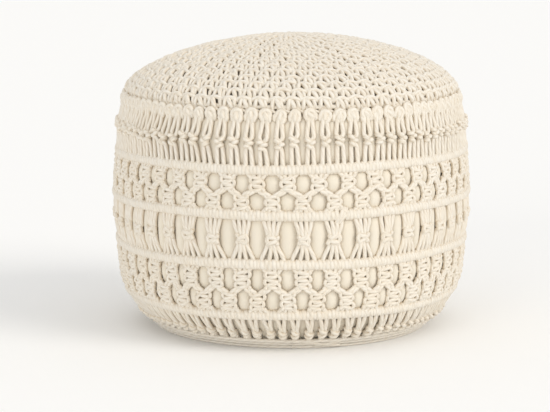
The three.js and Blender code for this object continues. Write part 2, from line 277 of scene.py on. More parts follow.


# Carries a ring of points along each path: point = path + radius * (cos * side + deep * sin * up),
# with the cosine and sine raised to a power where the cord is pressed square. Both ends are
# closed by a point a little beyond the last ring. The flank shade is painted shade: it is 0 where
# the cord faces out of the cover and eases to 1 at its flanks, where neighbouring cords meet.
def sweepCords(paths, radius, sides, tone=0.0, deep=1.0, power=1.0):
    count, steps = paths.shape[:2]
    radius = np.broadcast_to(np.asarray(radius, float), (count, steps))
    ahead, side = carryAlong(paths)
    up = np.cross(ahead, side)
    around = fullTurn * np.arange(sides) / sides
    flatCos, flatSin = squareOff(np.cos(around), power), squareOff(np.sin(around), power)
    turned = flatCos[:, None] * side[:, :, None] + deep * flatSin[:, None] * up[:, :, None]
    rings = paths[:, :, None] + radius[:, :, None, None] * turned
    first = paths[:, 0] - sweep["endRound"] * radius[:, :1] * ahead[:, 0]
    last = paths[:, -1] + sweep["endRound"] * radius[:, -1:] * ahead[:, -1]
    points = np.concatenate([rings.reshape(count, -1, 3), first[:, None], last[:, None]], 1)
    quads, triangles = cordFaces(count, steps, sides)
    tones = np.broadcast_to(np.asarray(tone, float).reshape(-1, 1), points.shape[:2])
    # painted shade: the flanks turned away from the outside of the cover are marked to be darkened as if
    # shade fell between the cords
    outward = turned / np.linalg.norm(turned, axis=-1, keepdims=True) * outwardAt(paths)[:, :, None]
    crease = 1 - easeBetween(*sweep["flank"], outward.sum(-1))
    flankShades = np.concatenate([crease.reshape(count, -1), crease[:, 0, :1], crease[:, -1, :1]], 1)
    return {"points": points.reshape(-1, 3), "quads": quads, "triangles": triangles,
            "uv": cordTexture(paths, sides), "tone": tones.reshape(-1), "crease": flankShades.reshape(-1)}


# Joins parts into one mesh, in metres, and hands it to the frame
def makePiece(name, parts, material, node):
    starts = np.cumsum([0] + [len(part["points"]) for part in parts])[:-1]
    kinds = ("points", "uv", "tone", "crease")
    joined = {kind: np.concatenate([part[kind] for part in parts]) for kind in kinds}
    faces = [part[kind] + start for part, start in zip(parts, starts) for kind in ("quads", "triangles")]
    corners = np.concatenate([face.reshape(-1) for face in faces])
    sizes = np.concatenate([np.full(len(face), face.shape[1]) for face in faces])
    mesh = bpy.data.meshes.new(name)
    mesh.vertices.add(len(joined["points"]))
    mesh.vertices.foreach_set("co", (joined["points"] * millimetre).astype(np.float32).reshape(-1))
    mesh.loops.add(len(corners))
    mesh.loops.foreach_set("vertex_index", corners.astype(np.int32))
    mesh.polygons.add(len(sizes))
    mesh.polygons.foreach_set("loop_start", (np.cumsum(sizes) - sizes).astype(np.int32))
    mesh.polygons.foreach_set("use_smooth", np.ones(len(sizes), bool))
    mesh.update(calc_edges=True)
    uv = mesh.uv_layers.new(name="clothUv")
    uv.data.foreach_set("uv", joined["uv"].astype(np.float32).reshape(-1))
    for kind in ("tone", "crease"):
        values = mesh.attributes.new(kind, "FLOAT", "POINT")
        values.data.foreach_set("value", joined[kind].astype(np.float32))
    mesh.materials.append(material)
    piece = addObject(name, mesh)
    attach(piece, "root")
    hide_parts(node)
    print(name, "has", int((sizes - 2).sum()), "triangles")
    return piece


# Adds nodes to a new material and joins them
class Shader:
    def __init__(self, name):
        self.material = bpy.data.materials.new(name)
        self.material.use_nodes = True
        self.tree = self.material.node_tree
        self.surface = self.tree.nodes["Principled BSDF"]

    def plug(self, socket, value):
        if isinstance(value, bpy.types.NodeSocket):
            self.tree.links.new(value, socket)
        else:
            socket.default_value = value

    def node(self, kind, inputs, **settings):
        made = self.tree.nodes.new(kind)
        for key, value in settings.items():
            setattr(made, key, value)
        for key, value in inputs.items():
            self.plug(made.inputs[key], value)
        return made

    def math(self, operation, a, b=0.0):
        return self.node("ShaderNodeMath", {0: a, 1: b}, operation=operation).outputs[0]

    def mix(self, share, a, b):
        a, b = (value if isinstance(value, bpy.types.NodeSocket) else (*value, 1) for value in (a, b))
        inputs = {0: share, 6: a, 7: b}  # sockets 6 and 7 are the colours, and output 2 is theirs
        return self.node("ShaderNodeMix", inputs, data_type="RGBA").outputs[2]

    def noise(self, place, scale, detail):
        inputs = {"Vector": place, "Scale": scale, "Detail": detail}
        return self.node("ShaderNodeTexNoise", inputs).outputs[0]

    def bump(self, height, distance, normal=None):
        inputs = {"Height": height, "Distance": distance, "Strength": 1.0}
        if normal:
            inputs["Normal"] = normal
        return self.node("ShaderNodeBump", inputs).outputs[0]

    # Where a point is, and its place around and along the cord, or across and down the cloth
    def places(self):
        uv = self.node("ShaderNodeUVMap", {}, uv_map="clothUv").outputs[0]
        place = self.node("ShaderNodeTexCoord", {}).outputs["Object"]
        return place, *self.node("ShaderNodeSeparateXYZ", {0: uv}).outputs[:2]

    def finish(self, values):
        for socket, value in values.items():
            self.plug(self.surface.inputs[socket], value)
        return self.material


# The darkest colour is painted shade. It is mixed in between the plies and on the cords' flanks, and the
# shares say how much.
cotton = {
    "pale": (0.85, 0.80, 0.715), "warm": (0.835, 0.76, 0.641), "groove": (0.60, 0.48, 0.325),
    "roughness": 0.88, "sheen": 0.2, "sheenRoughness": 0.5, "specular": 0.2, "blotch": (18.0, 2.0),
    "blotchShare": 0.6, "creaseShare": 0.7, "grooveShare": 0.35, "plies": 3, "plyRound": 0.5,
    "twistLength": 1.1, "twistDepth": 0.0002, "fibres": (1400.0, 3.0), "fibreDepth": 0.0001,
    "tones": (-0.2, 0.3),  # from a pale cord to a warm one
}


# Three plies wind around the cord: their phase is plies * u + along / twist length. The blotches
# and fibres are noises, each with its scale and detail. The colour is darkened by painted shade in
# the grooves between the plies and on the flanks that the sweep marks.
def cottonCord():
    shader = Shader("cottonCord")
    place, around, along = shader.places()
    winding = shader.math("MULTIPLY", around, cotton["plies"])
    phase = shader.math("ADD", winding, shader.math("DIVIDE", along, cotton["twistLength"]))
    wave = shader.math("ABSOLUTE", shader.math("SINE", shader.math("MULTIPLY", phase, math.pi)))
    plies = shader.math("POWER", wave, cotton["plyRound"])
    tone = shader.node("ShaderNodeAttribute", {}, attribute_name="tone").outputs["Fac"]
    blotch = shader.math("MULTIPLY", shader.noise(place, *cotton["blotch"]), cotton["blotchShare"])
    color = shader.mix(shader.math("ADD", blotch, tone), cotton["pale"], cotton["warm"])
    # painted shade in the grooves between the plies
    between = shader.math("MULTIPLY", shader.math("SUBTRACT", 1.0, plies), cotton["grooveShare"])
    fibres = shader.bump(shader.noise(place, *cotton["fibres"]), cotton["fibreDepth"])
    # painted shade on the cord's flanks, where it meets its neighbours
    crease = shader.node("ShaderNodeAttribute", {}, attribute_name="crease").outputs["Fac"]
    color = shader.mix(shader.math("MULTIPLY", crease, cotton["creaseShare"]), color, cotton["groove"])
    return shader.finish({
        "Base Color": shader.mix(between, color, cotton["groove"]),
        "Normal": shader.bump(plies, cotton["twistDepth"], fibres),
        "Roughness": cotton["roughness"], "Sheen Weight": cotton["sheen"],
        "Sheen Roughness": cotton["sheenRoughness"], "Specular IOR Level": cotton["specular"],
    })


cord = cottonCord()
print("cord material ready")


# The cords of one piece. Each call for a difference draws one value, or a row, for every cord.
class Cords:
    def __init__(self, seed, count):
        self.random = np.random.default_rng(seed)
        self.count = count
        self.parts = []

    def uneven(self, size, columns=1):
        return self.random.uniform(-size, size, (self.count, columns))

    def between(self, low, high):
        return self.random.uniform(low, high, (self.count, 1))

    def mirror(self, share):
        return np.where(self.random.random((self.count, 1)) < share, 1.0, -1.0)

    def tones(self, tones=cotton["tones"]):
        return self.random.uniform(*tones, self.count)

    def add(self, paths, thick, sides=strandSides, tones=None, **form):
        tones = self.tones() if tones is None else tones
        self.parts.append(sweepCords(paths, thick, sides, tones, **form))

    # The turn and the millimetres across ease from the start to the end, the height goes evenly,
    # and the depth bows out by bow * sin between them
    def span(self, start, end, bow, thick, steps=7, sway=0.0):
        share = np.linspace(0, 1, steps)
        eased, arch = easeBetween(0, 1, share), np.sin(math.pi * share)
        places = [np.broadcast_to(np.reshape(v, (-1, 1)), (self.count, 1)) for v in (*start, *end)]
        turn0, height0, across0, depth0, turn1, height1, across1, depth1 = places
        drift = sway * self.uneven(1) * arch
        across = partWay(across0, across1, eased) + drift
        depth = partWay(depth0, depth1, share) + bow * arch
        turn, height = partWay(turn0, turn1, eased), partWay(height0, height1, share)
        self.add(bandPlace(turn, height, depth, across), thick)

    def finish(self, name, node):
        makePiece(name, self.parts, cord, node)


ringNames = ("ring_bar_1", "ring_bar_2", "ring_bar_3", "ring_bar_4")
ringMiddles = [perMetre / 2 * (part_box(name)[0].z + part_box(name)[1].z) for name in ringNames]
ringHalf = 6.0  # half the height of a ring bar
ringTuck = 3  # how far a strand is tucked into it
hitch = {
    "perGroup": 8, "rise": 3.9, "forward": 3.5, "reach": 3.5, "sweep": 2.15, "squareness": 0.6,
    "fill": 0.78, "deep": 0.8, "power": 0.72, "steps": 9, "uneven": 0.3, "pairRise": (0.6, -0.3),
    "slant": 0.4, "aside": 0.25, "carrierThick": 2.4, "carrierTone": 0.4,
}
# Where the second bar is joined, between two turns: three cords, each as turns, millimetres
# above the bar's middle and depth. Two cross towards the upper right and one makes a small loop.
ringJoin = {
    "bar": 2, "turns": (1.64, 1.90), "thick": 2.75, "tone": 0.1, "cords": (
        ((1.56, -9.5, 3.6), (1.60, -6.0, 6.0), (1.66, -2.0, 7.6),
         (1.72, 2.0, 7.8), (1.78, 5.6, 6.6), (1.83, 9.0, 4.4)),
        ((1.66, -9.5, 3.6), (1.71, -6.4, 5.8), (1.76, -3.0, 7.2),
         (1.81, 0.6, 7.4), (1.87, 4.4, 6.4), (1.92, 8.4, 4.4)),
        ((1.80, -4.6, 3.4), (1.82, -2.0, 6.4), (1.90, -0.6, 7.4),
         (1.93, 2.4, 7.6), (1.86, 4.2, 6.8), (1.80, 2.6, 4.0)),
    ),
}


# Each hitch is a half loop over the carrier: it rises by rise * sin and comes forward by
# reach * cos, squared off a little, from behind the top edge to behind the bottom edge
def makeRingBar(number):
    cords = Cords(number, hitch["perGroup"] * pouf["groups"])
    middle = ringMiddles[number - 1]
    order = np.arange(cords.count)[:, None]
    turn = (order + 0.5) / hitch["perGroup"]
    around = np.linspace(hitch["sweep"], -hitch["sweep"], hitch["steps"])
    squared = squareOff(np.sin(around), hitch["squareness"])
    rise = hitch["rise"] + cords.uneven(hitch["uneven"])
    rise = rise + np.where(order % 2 == 0, *hitch["pairRise"]) * (squared > 0)
    depth = hitch["forward"] + (hitch["reach"] + cords.uneven(hitch["uneven"])) * np.cos(around)
    across = cords.uneven(hitch["slant"]) * squared + cords.uneven(hitch["aside"])
    paths = bandPlace(turn, middle + rise * squared, depth, across)
    half = 0.5 / hitch["perGroup"]
    wide = hitch["fill"] * gapBetween(turn - half, turn + half, middle)
    tones = cords.tones()
    isJoined = number == ringJoin["bar"]
    first, last = ringJoin["turns"]
    kept = ~((turn[:, 0] > first) & (turn[:, 0] < last) & isJoined)
    cords.add(paths[kept], wide[kept], knotSides, tones[kept], deep=hitch["deep"], power=hitch["power"])
    around = np.linspace(0, pouf["groups"], pouf["roundSteps"])[None]
    carrier = bandPlace(around, middle, hitch["forward"])
    cords.add(carrier, hitch["carrierThick"], knotSides, hitch["carrierTone"])
    if isJoined:
        turn, above, depth = np.moveaxis(np.array(ringJoin["cords"]), -1, 0)
        paths = bandPlace(turn, middle + above, depth)
        cords.add(paths, ringJoin["thick"], strandSides, ringJoin["tone"])
    cords.finish("hitchedRing%d" % number, ringNames[number - 1])


for number in (1, 2, 3, 4):
    makeRingBar(number)

knot = {
    "thick": 2.45, "frontThick": 2.85, "fillerAcross": 2.1, "fillerDepth": 4.1, "fillerTone": 0.2,
    "frontLow": 2.7, "frontRise": 3.3, "frontIn": 1.8, "phaseEnd": 0.1, "swingPower": 0.8,
    "risePower": 0.9, "slant": 0.12, "uneven": 0.8, "bumpLow": 2.2, "bumpRise": 4.2, "bumpIn": 4.4,
    "bumpTall": 0.92, "bumpPower": 0.8, "bumpTone": 0.1, "lean": 0.1, "sameWay": 0.7, "shift": 0.5,
    "steps": 7, "marks": 2, "depthShare": 0.8, "bumpSteps": 8, "endSteps": 5,
}


# A column of half knots at each turn. The front cord swings across by -width * cos(phase) while
# it goes down by pitch * phase / pi, and comes forward by the sine of the phase. The back cord
# shows as a bump at the side away from each of those swings: half an oval over the front cord.
# Two straight fillers run down inside.
def tieColumns(cords, turns, top, count, pitch, width, **changes):
    own = {**knot, **changes}
    turns = turns[:, None]
    lean, tones, mirror = cords.uneven(own["lean"]), cords.tones(), cords.mirror(own["sameWay"])
    top = top + cords.uneven(own["shift"])
    width = width + cords.uneven(own["shift"])

    def placed(across, height, depth):
        return bandPlace(turns, height, depth, mirror * across + lean * (height - top))

    ends = own["phaseEnd"], count * math.pi - own["phaseEnd"]
    phase, marks = (np.linspace(*ends, own[key] * count + 1) for key in ("steps", "marks"))
    drawn = [cords.uneven(own["uneven"], len(marks)) for _ in range(3)]
    wander = [np.stack([np.interp(phase, marks, row) for row in rows]) for rows in drawn]
    swing = squareOff(np.cos(phase), own["swingPower"])
    height = top - pitch / math.pi * (phase + own["slant"] * np.sin(2 * phase)) + wander[0]
    rise = own["frontRise"] * np.abs(np.sin(phase)) ** own["risePower"]
    depth = own["frontLow"] + rise + own["depthShare"] * wander[1]
    across = wander[2] - (width - own["frontIn"]) * swing
    cords.add(placed(across, height, depth), own["frontThick"], knotSides, tones)
    for step in range(count + 1):
        side = 1 if step % 2 == 0 else -1
        start = math.pi / 2 if step == 0 else 0.0
        end = math.pi / 2 if step == count else math.pi
        oval = np.linspace(start, end, own["bumpSteps"] if 0 < step < count else own["endSteps"])
        across = side * (width - own["bumpIn"] * (1 - np.sin(oval)) + cords.uneven(own["uneven"]))
        height = top - pitch * step + own["bumpTall"] * pitch * np.cos(oval) + cords.uneven(own["uneven"])
        depth = own["bumpLow"] + own["bumpRise"] * np.sin(oval) ** own["bumpPower"]
        paths = placed(across, height, depth + cords.uneven(own["uneven"]))
        cords.add(paths, own["thick"], knotSides, tones + own["bumpTone"])
    for side in (-1, 1):
        height = np.linspace(top[:, 0], top[:, 0] - count * pitch, 3, axis=1)
        paths = placed(side * own["fillerAcross"] + 0 * height, height, own["fillerDepth"])
        cords.add(paths, own["thick"], hiddenSides, tones + own["fillerTone"])


upperBand = {"rings": (0, 1), "shift": 0.0, "halfKnots": 4, "width": 7.9, "name": "upperSquareKnots",
             "node": "upper_square_knot_band", "seed": 11}
lowerBand = {"rings": (2, 3), "shift": 0.5, "halfKnots": 5, "width": 8.6, "name": "lowerSquareKnots",
             "node": "lower_square_knot_band", "seed": 12}
# Both bands: how far the knots stay from the rings and from each other, and how far the leads
# and crossings run into the knots, their depth there and their bow
join = {
    "edge": 1.4, "between": 4.0, "thick": 2.75, "quarter": 0.125, "outer": 0.315, "endIn": 1.2,
    "ringDepth": 3.0, "leadTuck": 2.5, "leadDepth": 4.4, "leadBow": 1.2,
    "crossTuck": 1.8, "crossDepth": 3.6, "crossBow": 2.4, "crossSteps": 8,
}


# Two rows of square-knot columns, the lower set half a group along, and the strands that lead
# into them from the ring above, cross between them and lead out to the ring below
def makeSquareKnotBand(band):
    cords = Cords(band["seed"], pouf["groups"])
    high = ringMiddles[band["rings"][0]] - ringHalf
    low = ringMiddles[band["rings"][1]] + ringHalf
    count, width, filler = band["halfKnots"], band["width"], knot["fillerAcross"]
    pitch = (high - low - 2 * join["edge"] - join["between"]) / (2 * count)
    upperTop = high - join["edge"]
    lowerTop = upperTop - count * pitch - join["between"]
    upperTurns = np.arange(pouf["groups"]) + band["shift"]
    lowerTurns = upperTurns + 0.5
    tieColumns(cords, upperTurns, upperTop, count, pitch, width)
    tieColumns(cords, lowerTurns, lowerTop, count, pitch, width)
    upperEnd, lowerEnd = upperTop - count * pitch, lowerTop - count * pitch
    outside, bow, thick = width - join["endIn"], join["leadBow"], join["thick"]
    for side in (-1, 1):
        for far, inner in ((join["outer"], outside), (join["quarter"], filler)):
            edge = (upperTurns + side * far, high + ringTuck, 0, join["ringDepth"])
            column = (upperTurns, upperTop - join["leadTuck"], side * inner, join["leadDepth"])
            cords.span(edge, column, bow, thick)
            edge = (lowerTurns + side * far, low - ringTuck, 0, join["ringDepth"])
            column = (lowerTurns, lowerEnd + join["leadTuck"], side * inner, join["leadDepth"])
            cords.span(column, edge, bow, thick)
        for leave, arrive in ((filler, outside), (outside, filler)):
            out = (upperTurns, upperEnd + join["crossTuck"], side * leave, join["crossDepth"])
            turns = upperTurns + side * 0.5
            into = (turns, lowerTop - join["crossTuck"], -side * arrive, join["crossDepth"])
            cords.span(out, into, join["crossBow"], thick, join["crossSteps"])
    cords.finish(band["name"], band["node"])


makeSquareKnotBand(upperBand)
makeSquareKnotBand(lowerBand)

gathered = {
    "knotTop": 147.0, "halfKnots": 2, "pitch": 5.6, "width": 6.4, "fanTop": 0.088, "fanBottom": 0.122,
    "lean": 0.02, "outerDepth": 4.2, "innerAcross": 1.6, "innerDepth": 5.4, "ringDepth": 3.4, "tuck": 1.5,
    "fan": {"bow": 1.0, "thick": 2.8, "steps": 9, "sway": 1.0},
    "turnUneven": 0.025, "heightUneven": 1.8, "seed": 13,
}
gatheredKnot = {"thick": 2.9, "frontThick": 3.3, "frontLow": 4.8, "frontRise": 2.2, "bumpLow": 3.2,
                "bumpRise": 3.6, "fillerDepth": 4.4}


# Bundles of four strands that come together in a flat knot halfway and spread out again
def makeGatheredBand():
    cords = Cords(gathered["seed"], pouf["groups"])
    turns = np.arange(cords.count) + 0.5
    knotTurns = turns + cords.uneven(gathered["turnUneven"])[:, 0]
    top, bottom = ringMiddles[1] - ringHalf, ringMiddles[2] + ringHalf
    knotTop = gathered["knotTop"] + cords.uneven(gathered["heightUneven"])[:, 0]
    rows, pitch, width, tuck = (gathered[key] for key in ("halfKnots", "pitch", "width", "tuck"))
    tieColumns(cords, knotTurns, knotTop[:, None], rows, pitch, width, **gatheredKnot)
    outer = (3, width - join["endIn"], gathered["outerDepth"])
    inner = (1, gathered["innerAcross"], gathered["innerDepth"])
    for side in (-1, 1):
        for far, across, depth in (outer, inner):
            edge = (turns + side * far * gathered["fanTop"], top + ringTuck, 0, gathered["ringDepth"])
            cords.span(edge, (knotTurns, knotTop - tuck, side * across, depth), **gathered["fan"])
            out = (knotTurns, knotTop - rows * pitch + tuck, side * across, depth)
            foot = turns + gathered["lean"] + side * far * gathered["fanBottom"]
            cords.span(out, (foot, bottom - ringTuck, 0, gathered["ringDepth"]), **gathered["fan"])
    cords.finish("gatheredKnots", "gathered_knot_band")


makeGatheredBand()

# The rim band from the top down: where the strands are at the rim, above, in and below the small
# knots, and over how many millimetres each of those differences fades
rimBand = {
    "top": 295.5, "topIn": 4.0, "topOver": 7, "root": 286, "rootAcross": 1.8, "rootOut": 1.4, "rootOver": 8,
    "aboveKnot": 264, "aboveAcross": 4.4, "belowAcross": 3.0, "footAcross": 4.3, "middleDepth": 5.2,
    "thick": 2.9, "steps": 24, "sway": 0.6, "knot": 256, "knotHalf": 5.4, "knotEase": (2.6, 1.8),
    "knotOut": 1.4, "outOver": 12, "twist": 2.6, "twistDepth": 1.6, "sameWay": 0.88, "heightUneven": 2.6,
    "shift": 1.3, "shiftOver": 14, "lean": 6.5, "leanTurn": -7.6, "leanPower": 4, "seed": 14,
}
# The lumps of a small knot: how far across and up from its middle, and how much each slants
rimBead = {
    "lumps": ((-2.4, 3.9, 0.9), (2.3, 0.7, -0.6), (-1.3, -3.3, 0.8)), "thick": 2.75, "reach": 2.3,
    "stretch": (0.8, 1.15), "low": 5.6, "rise": 4.4, "uneven": 0.8, "depthUneven": 0.5, "steps": 8,
}
# The knot at the rim, each cord as millimetres across, height and depth: a loop over both
# strands, its plump middle, and the small bend that comes out below it at either side
rimLoop = ((-4.3, 285.4, 4.2), (-5.3, 287.8, 6.0), (-5.2, 290.8, 6.6), (-3.0, 293.8, 6.8), (0.4, 294.5, 7),
           (3.4, 293.6, 6.8), (5.2, 290.8, 6.6), (5.3, 287.8, 6.0), (4.3, 285.4, 4.2))
rimMiddle = ((-1.2, 292.8, 5), (-0.8, 290.8, 6.9), (0, 288.2, 7.7), (0.8, 285.6, 7.2), (1.2, 283.4, 5.2))
rimBend = ((2.6, 281.6, 3.4), (4.4, 282.8, 5.6), (5.3, 285.2, 6.6), (5.0, 287.8, 6.2), (3.6, 289.4, 4.6))
rimKnot = {"thick": 3.15, "turned": 0.6, "raised": (-1.4, 0.6), "sizes": (0.84, 1.06), "aside": 0.7,
           "upDown": 0.9, "sideOut": 0.4}
# The cord between two rim knots: its ends as turns from a knot, height and depth
rimLink = {"low": (0.06, 296.6, 3.6), "high": (0.44, 289.0, 2.2), "bow": 0.6, "thick": 2.3}


# The two strands of each pair hang from the rim, wind once around each other in a small knot and
# go on down. In the knot each moves across by twist * cos of the winding from its own side, and
# out or in by twist depth * sin. Where a knot is pulled aside, its strands run to it and back.
def hangStrands(cords, centre, knotAt, mirror, shift, lean):
    own = rimBand
    top, root, half = own["top"], own["root"], own["knotHalf"]
    foot = ringMiddles[0] + ringHalf - ringTuck
    fall = np.linspace(0, 1, own["steps"])
    height = partWay(top, foot, fall)
    fromKnot = height - knotAt
    winding = np.clip((knotAt + half - height) / (2 * half), 0, 1) * fullTurn
    full, fading = own["knotEase"]
    inKnot = easeBetween(0, 1, full - fading * np.abs(fromKnot) / half)
    above = np.clip((root - height) / (root - own["aboveKnot"]), 0, 1)
    topSpread = partWay(own["rootAcross"], own["aboveAcross"], above)
    below = np.clip((knotAt - height) / (knotAt - foot), 0, 1)
    footSpread = partWay(own["belowAcross"], own["footAcross"], below)
    spread = np.where(height > knotAt, topSpread, footSpread)
    for side in (-1, 1):
        across = side * (spread * (1 - inKnot) + own["twist"] * np.cos(winding) * inKnot)
        across = across + shift * np.exp(-(fromKnot / own["shiftOver"]) ** 2)
        across = across + lean * np.clip(1 - np.abs(fromKnot) / (root - own["knot"]), 0, 1)
        across = across + cords.uneven(own["sway"]) * np.sin(math.pi * fall)
        depth = own["middleDepth"] - side * mirror * own["twistDepth"] * np.sin(winding) * inKnot
        depth = depth + own["knotOut"] * np.exp(-(fromKnot / own["outOver"]) ** 2)
        depth = depth + own["rootOut"] * easeBetween(root - own["rootOver"], root, height)
        depth = depth - own["topIn"] * easeBetween(top - own["topOver"], top, height)
        cords.add(bandPlace(centre, height, depth, across), own["thick"])


# The lumps of the small knots go across by -reach * cos and out by rise * sin of half a turn
def tieSmallKnots(cords, centre, knotAt, mirror, shift, lean):
    own = rimBead
    half = np.linspace(0, math.pi, own["steps"])
    for aside, up, slant in own["lumps"]:
        stretch = cords.between(*own["stretch"])
        across = mirror * (aside - own["reach"] * stretch * np.cos(half)) + shift + lean
        height = knotAt + up + (slant + cords.uneven(own["uneven"])) * np.cos(half)
        depth = own["low"] + own["rise"] * np.sin(half) + cords.uneven(own["depthUneven"])
        cords.add(bandPlace(centre, height + cords.uneven(own["uneven"]), depth, across), own["thick"])


# The knots at the rim, each turned a little about its middle: across * cos - up * sin, and up *
# cos + across * sin. Nothing of them stands higher than the strands' tops.
def tieRimKnots(cords, centre):
    own = rimKnot
    turned, raised = cords.uneven(own["turned"]), cords.between(*own["raised"])
    middle = rimMiddle[2][1]
    for side, shape in ((1, rimLoop), (1, rimMiddle), (-1, rimBend), (1, rimBend)):
        aside, height, depth = np.array(shape).T
        aside = side * aside * cords.between(*own["sizes"]) + cords.uneven(own["aside"])
        up = height - middle + cords.uneven(own["upDown"])
        across = aside * np.cos(turned) - up * np.sin(turned)
        height = np.minimum(middle + raised + up * np.cos(turned) + aside * np.sin(turned), rimBand["top"])
        cords.add(bandPlace(centre, height, depth + own["sideOut"] * side, across), own["thick"])


# Two pairs of strands for each group, with a knot at the rim and a small one halfway down. At the
# front left the small knots are pulled aside by lean * (half of 1 + cos) to a power.
def makeRimBand():
    cords = Cords(rimBand["seed"], 2 * pouf["groups"])
    centre = (np.arange(cords.count) / 2 + 0.25)[:, None]
    knotAt = rimBand["knot"] + cords.uneven(rimBand["heightUneven"])
    mirror, shift = cords.mirror(rimBand["sameWay"]), cords.uneven(rimBand["shift"])
    fromLean = fullTurn * (centre - rimBand["leanTurn"]) / pouf["groups"]
    lean = -rimBand["lean"] * ((1 + np.cos(fromLean)) / 2) ** rimBand["leanPower"]
    hangStrands(cords, centre, knotAt, mirror, shift, lean)
    tieSmallKnots(cords, centre, knotAt, mirror, shift, lean)
    tieRimKnots(cords, centre)
    ends = [(centre[:, 0] + turn, height, 0, depth)
            for turn, height, depth in (rimLink["low"], rimLink["high"])]
    cords.span(*ends, rimLink["bow"], rimLink["thick"])
    cords.finish("rimStrands", "rim_strand_band")


makeRimBand()

hem = {
    "knotTop": 26.0, "foot": 11.5, "tied": 1.5, "depth": 4.4, "bow": 0.8, "thick": 2.85, "steps": 14,
    "lean": 2.2, "leanUneven": 1.5, "heightUneven": 1.4, "sway": 0.4, "wraps": ((22.2, 1.1), (17.6, -0.9)),
    "wrapThick": 3.0, "wrapReach": 3.5, "wrapSizes": (0.85, 1.1), "wrapMiddle": 3.2, "wrapRise": 5.2,
    "wrapUneven": 0.6, "wrapSteps": 9, "seed": 15,
}


# Short pairs that draw together below the last ring and are tied by two wraps. A wrap goes across
# by -reach * cos, out by rise * sin and up by slant * cos of its half turn.
def makeHemBand():
    cords = Cords(hem["seed"], 2 * pouf["groups"])
    centre = (np.arange(cords.count) / 2 + 0.25)[:, None]
    top = ringMiddles[3] - ringHalf + ringTuck
    fall = np.linspace(0, 1, hem["steps"])
    height = partWay(top, hem["foot"], fall)
    knotTop = hem["knotTop"] + cords.uneven(hem["heightUneven"])
    drawn = np.clip((top - height) / (top - knotTop), 0, 1)
    spread = gapBetween(centre - join["quarter"], centre + join["quarter"], height) / 2
    shift = (hem["lean"] + cords.uneven(hem["leanUneven"])) * drawn
    lift = cords.uneven(hem["heightUneven"])
    for side in (-1, 1):
        across = side * (spread * (1 - drawn) + hem["tied"] * drawn) + shift
        depth = hem["depth"] + hem["bow"] * np.sin(math.pi * fall) + cords.uneven(hem["sway"])
        cords.add(bandPlace(centre, height, depth, across + cords.uneven(hem["sway"])), hem["thick"])
    half = np.linspace(0, math.pi, hem["wrapSteps"])
    for level, slant in hem["wraps"]:
        across = -hem["wrapReach"] * np.cos(half) * cords.between(*hem["wrapSizes"]) + shift[:, -1:]
        height = level + lift + slant * np.cos(half) + cords.uneven(hem["wrapUneven"])
        depth = hem["wrapMiddle"] + hem["wrapRise"] * np.sin(half)
        cords.add(bandPlace(centre, height, depth, across), hem["wrapThick"])
    cords.finish("hemStrands", "hem_strand_band")


makeHemBand()

# A wave of the rounds is its number of crests, its shift from one round to the next and its
# size. It fades over a few rounds at the rim and in the middle.
crown = {
    "rounds": 17, "start": 0.5, "stitchWide": 19.5, "fewest": 5, "skew": 0.3, "hole": 1.5, "narrowest": 4,
    "wave": 0.8, "waves": ((3, 1.7, 1.0), (8, -2.3, 0.6)), "fade": 3, "sizes": (0.86, 1.1), "aside": 1.2,
    "upDown": 0.9, "depthUneven": 0.6, "tones": (-0.5, 0.1), "footAlong": 2.2, "footDepth": 2.4,
    "footThick": 2.8, "seed": 16,
}
# The four cords of a stitch: how thick they are, then places across and up from its middle, in
# shares of its width and height, with the depth in millimetres
stitchLegs = {
    "upright": (2.8, ((-0.29, -0.74, 0.6), (-0.28, -0.48, 3.6), (-0.28, -0.14, 5.6),
                      (-0.26, 0.18, 5.8), (-0.21, 0.44, 4.6), (-0.15, 0.64, 2.4))),
    "slanting": (3.1, ((0.24, -0.76, 0.6), (0.19, -0.48, 3.8), (0.10, -0.16, 6.0),
                       (-0.01, 0.14, 6.2), (-0.10, 0.42, 4.8), (-0.16, 0.64, 2.6))),
    "cap": (2.8, ((-0.60, 0.26, 2.4), (-0.42, 0.42, 4.7), (-0.14, 0.52, 6.3),
                  (0.14, 0.51, 6.3), (0.38, 0.40, 4.9), (0.56, 0.26, 2.4))),
    "between": (2.5, ((0.18, 0.56, 1.8), (0.27, 0.36, 4.0), (0.34, 0.10, 5.0),
                      (0.39, -0.14, 4.6), (0.42, -0.36, 3.2), (0.44, -0.56, 1.0))),
}


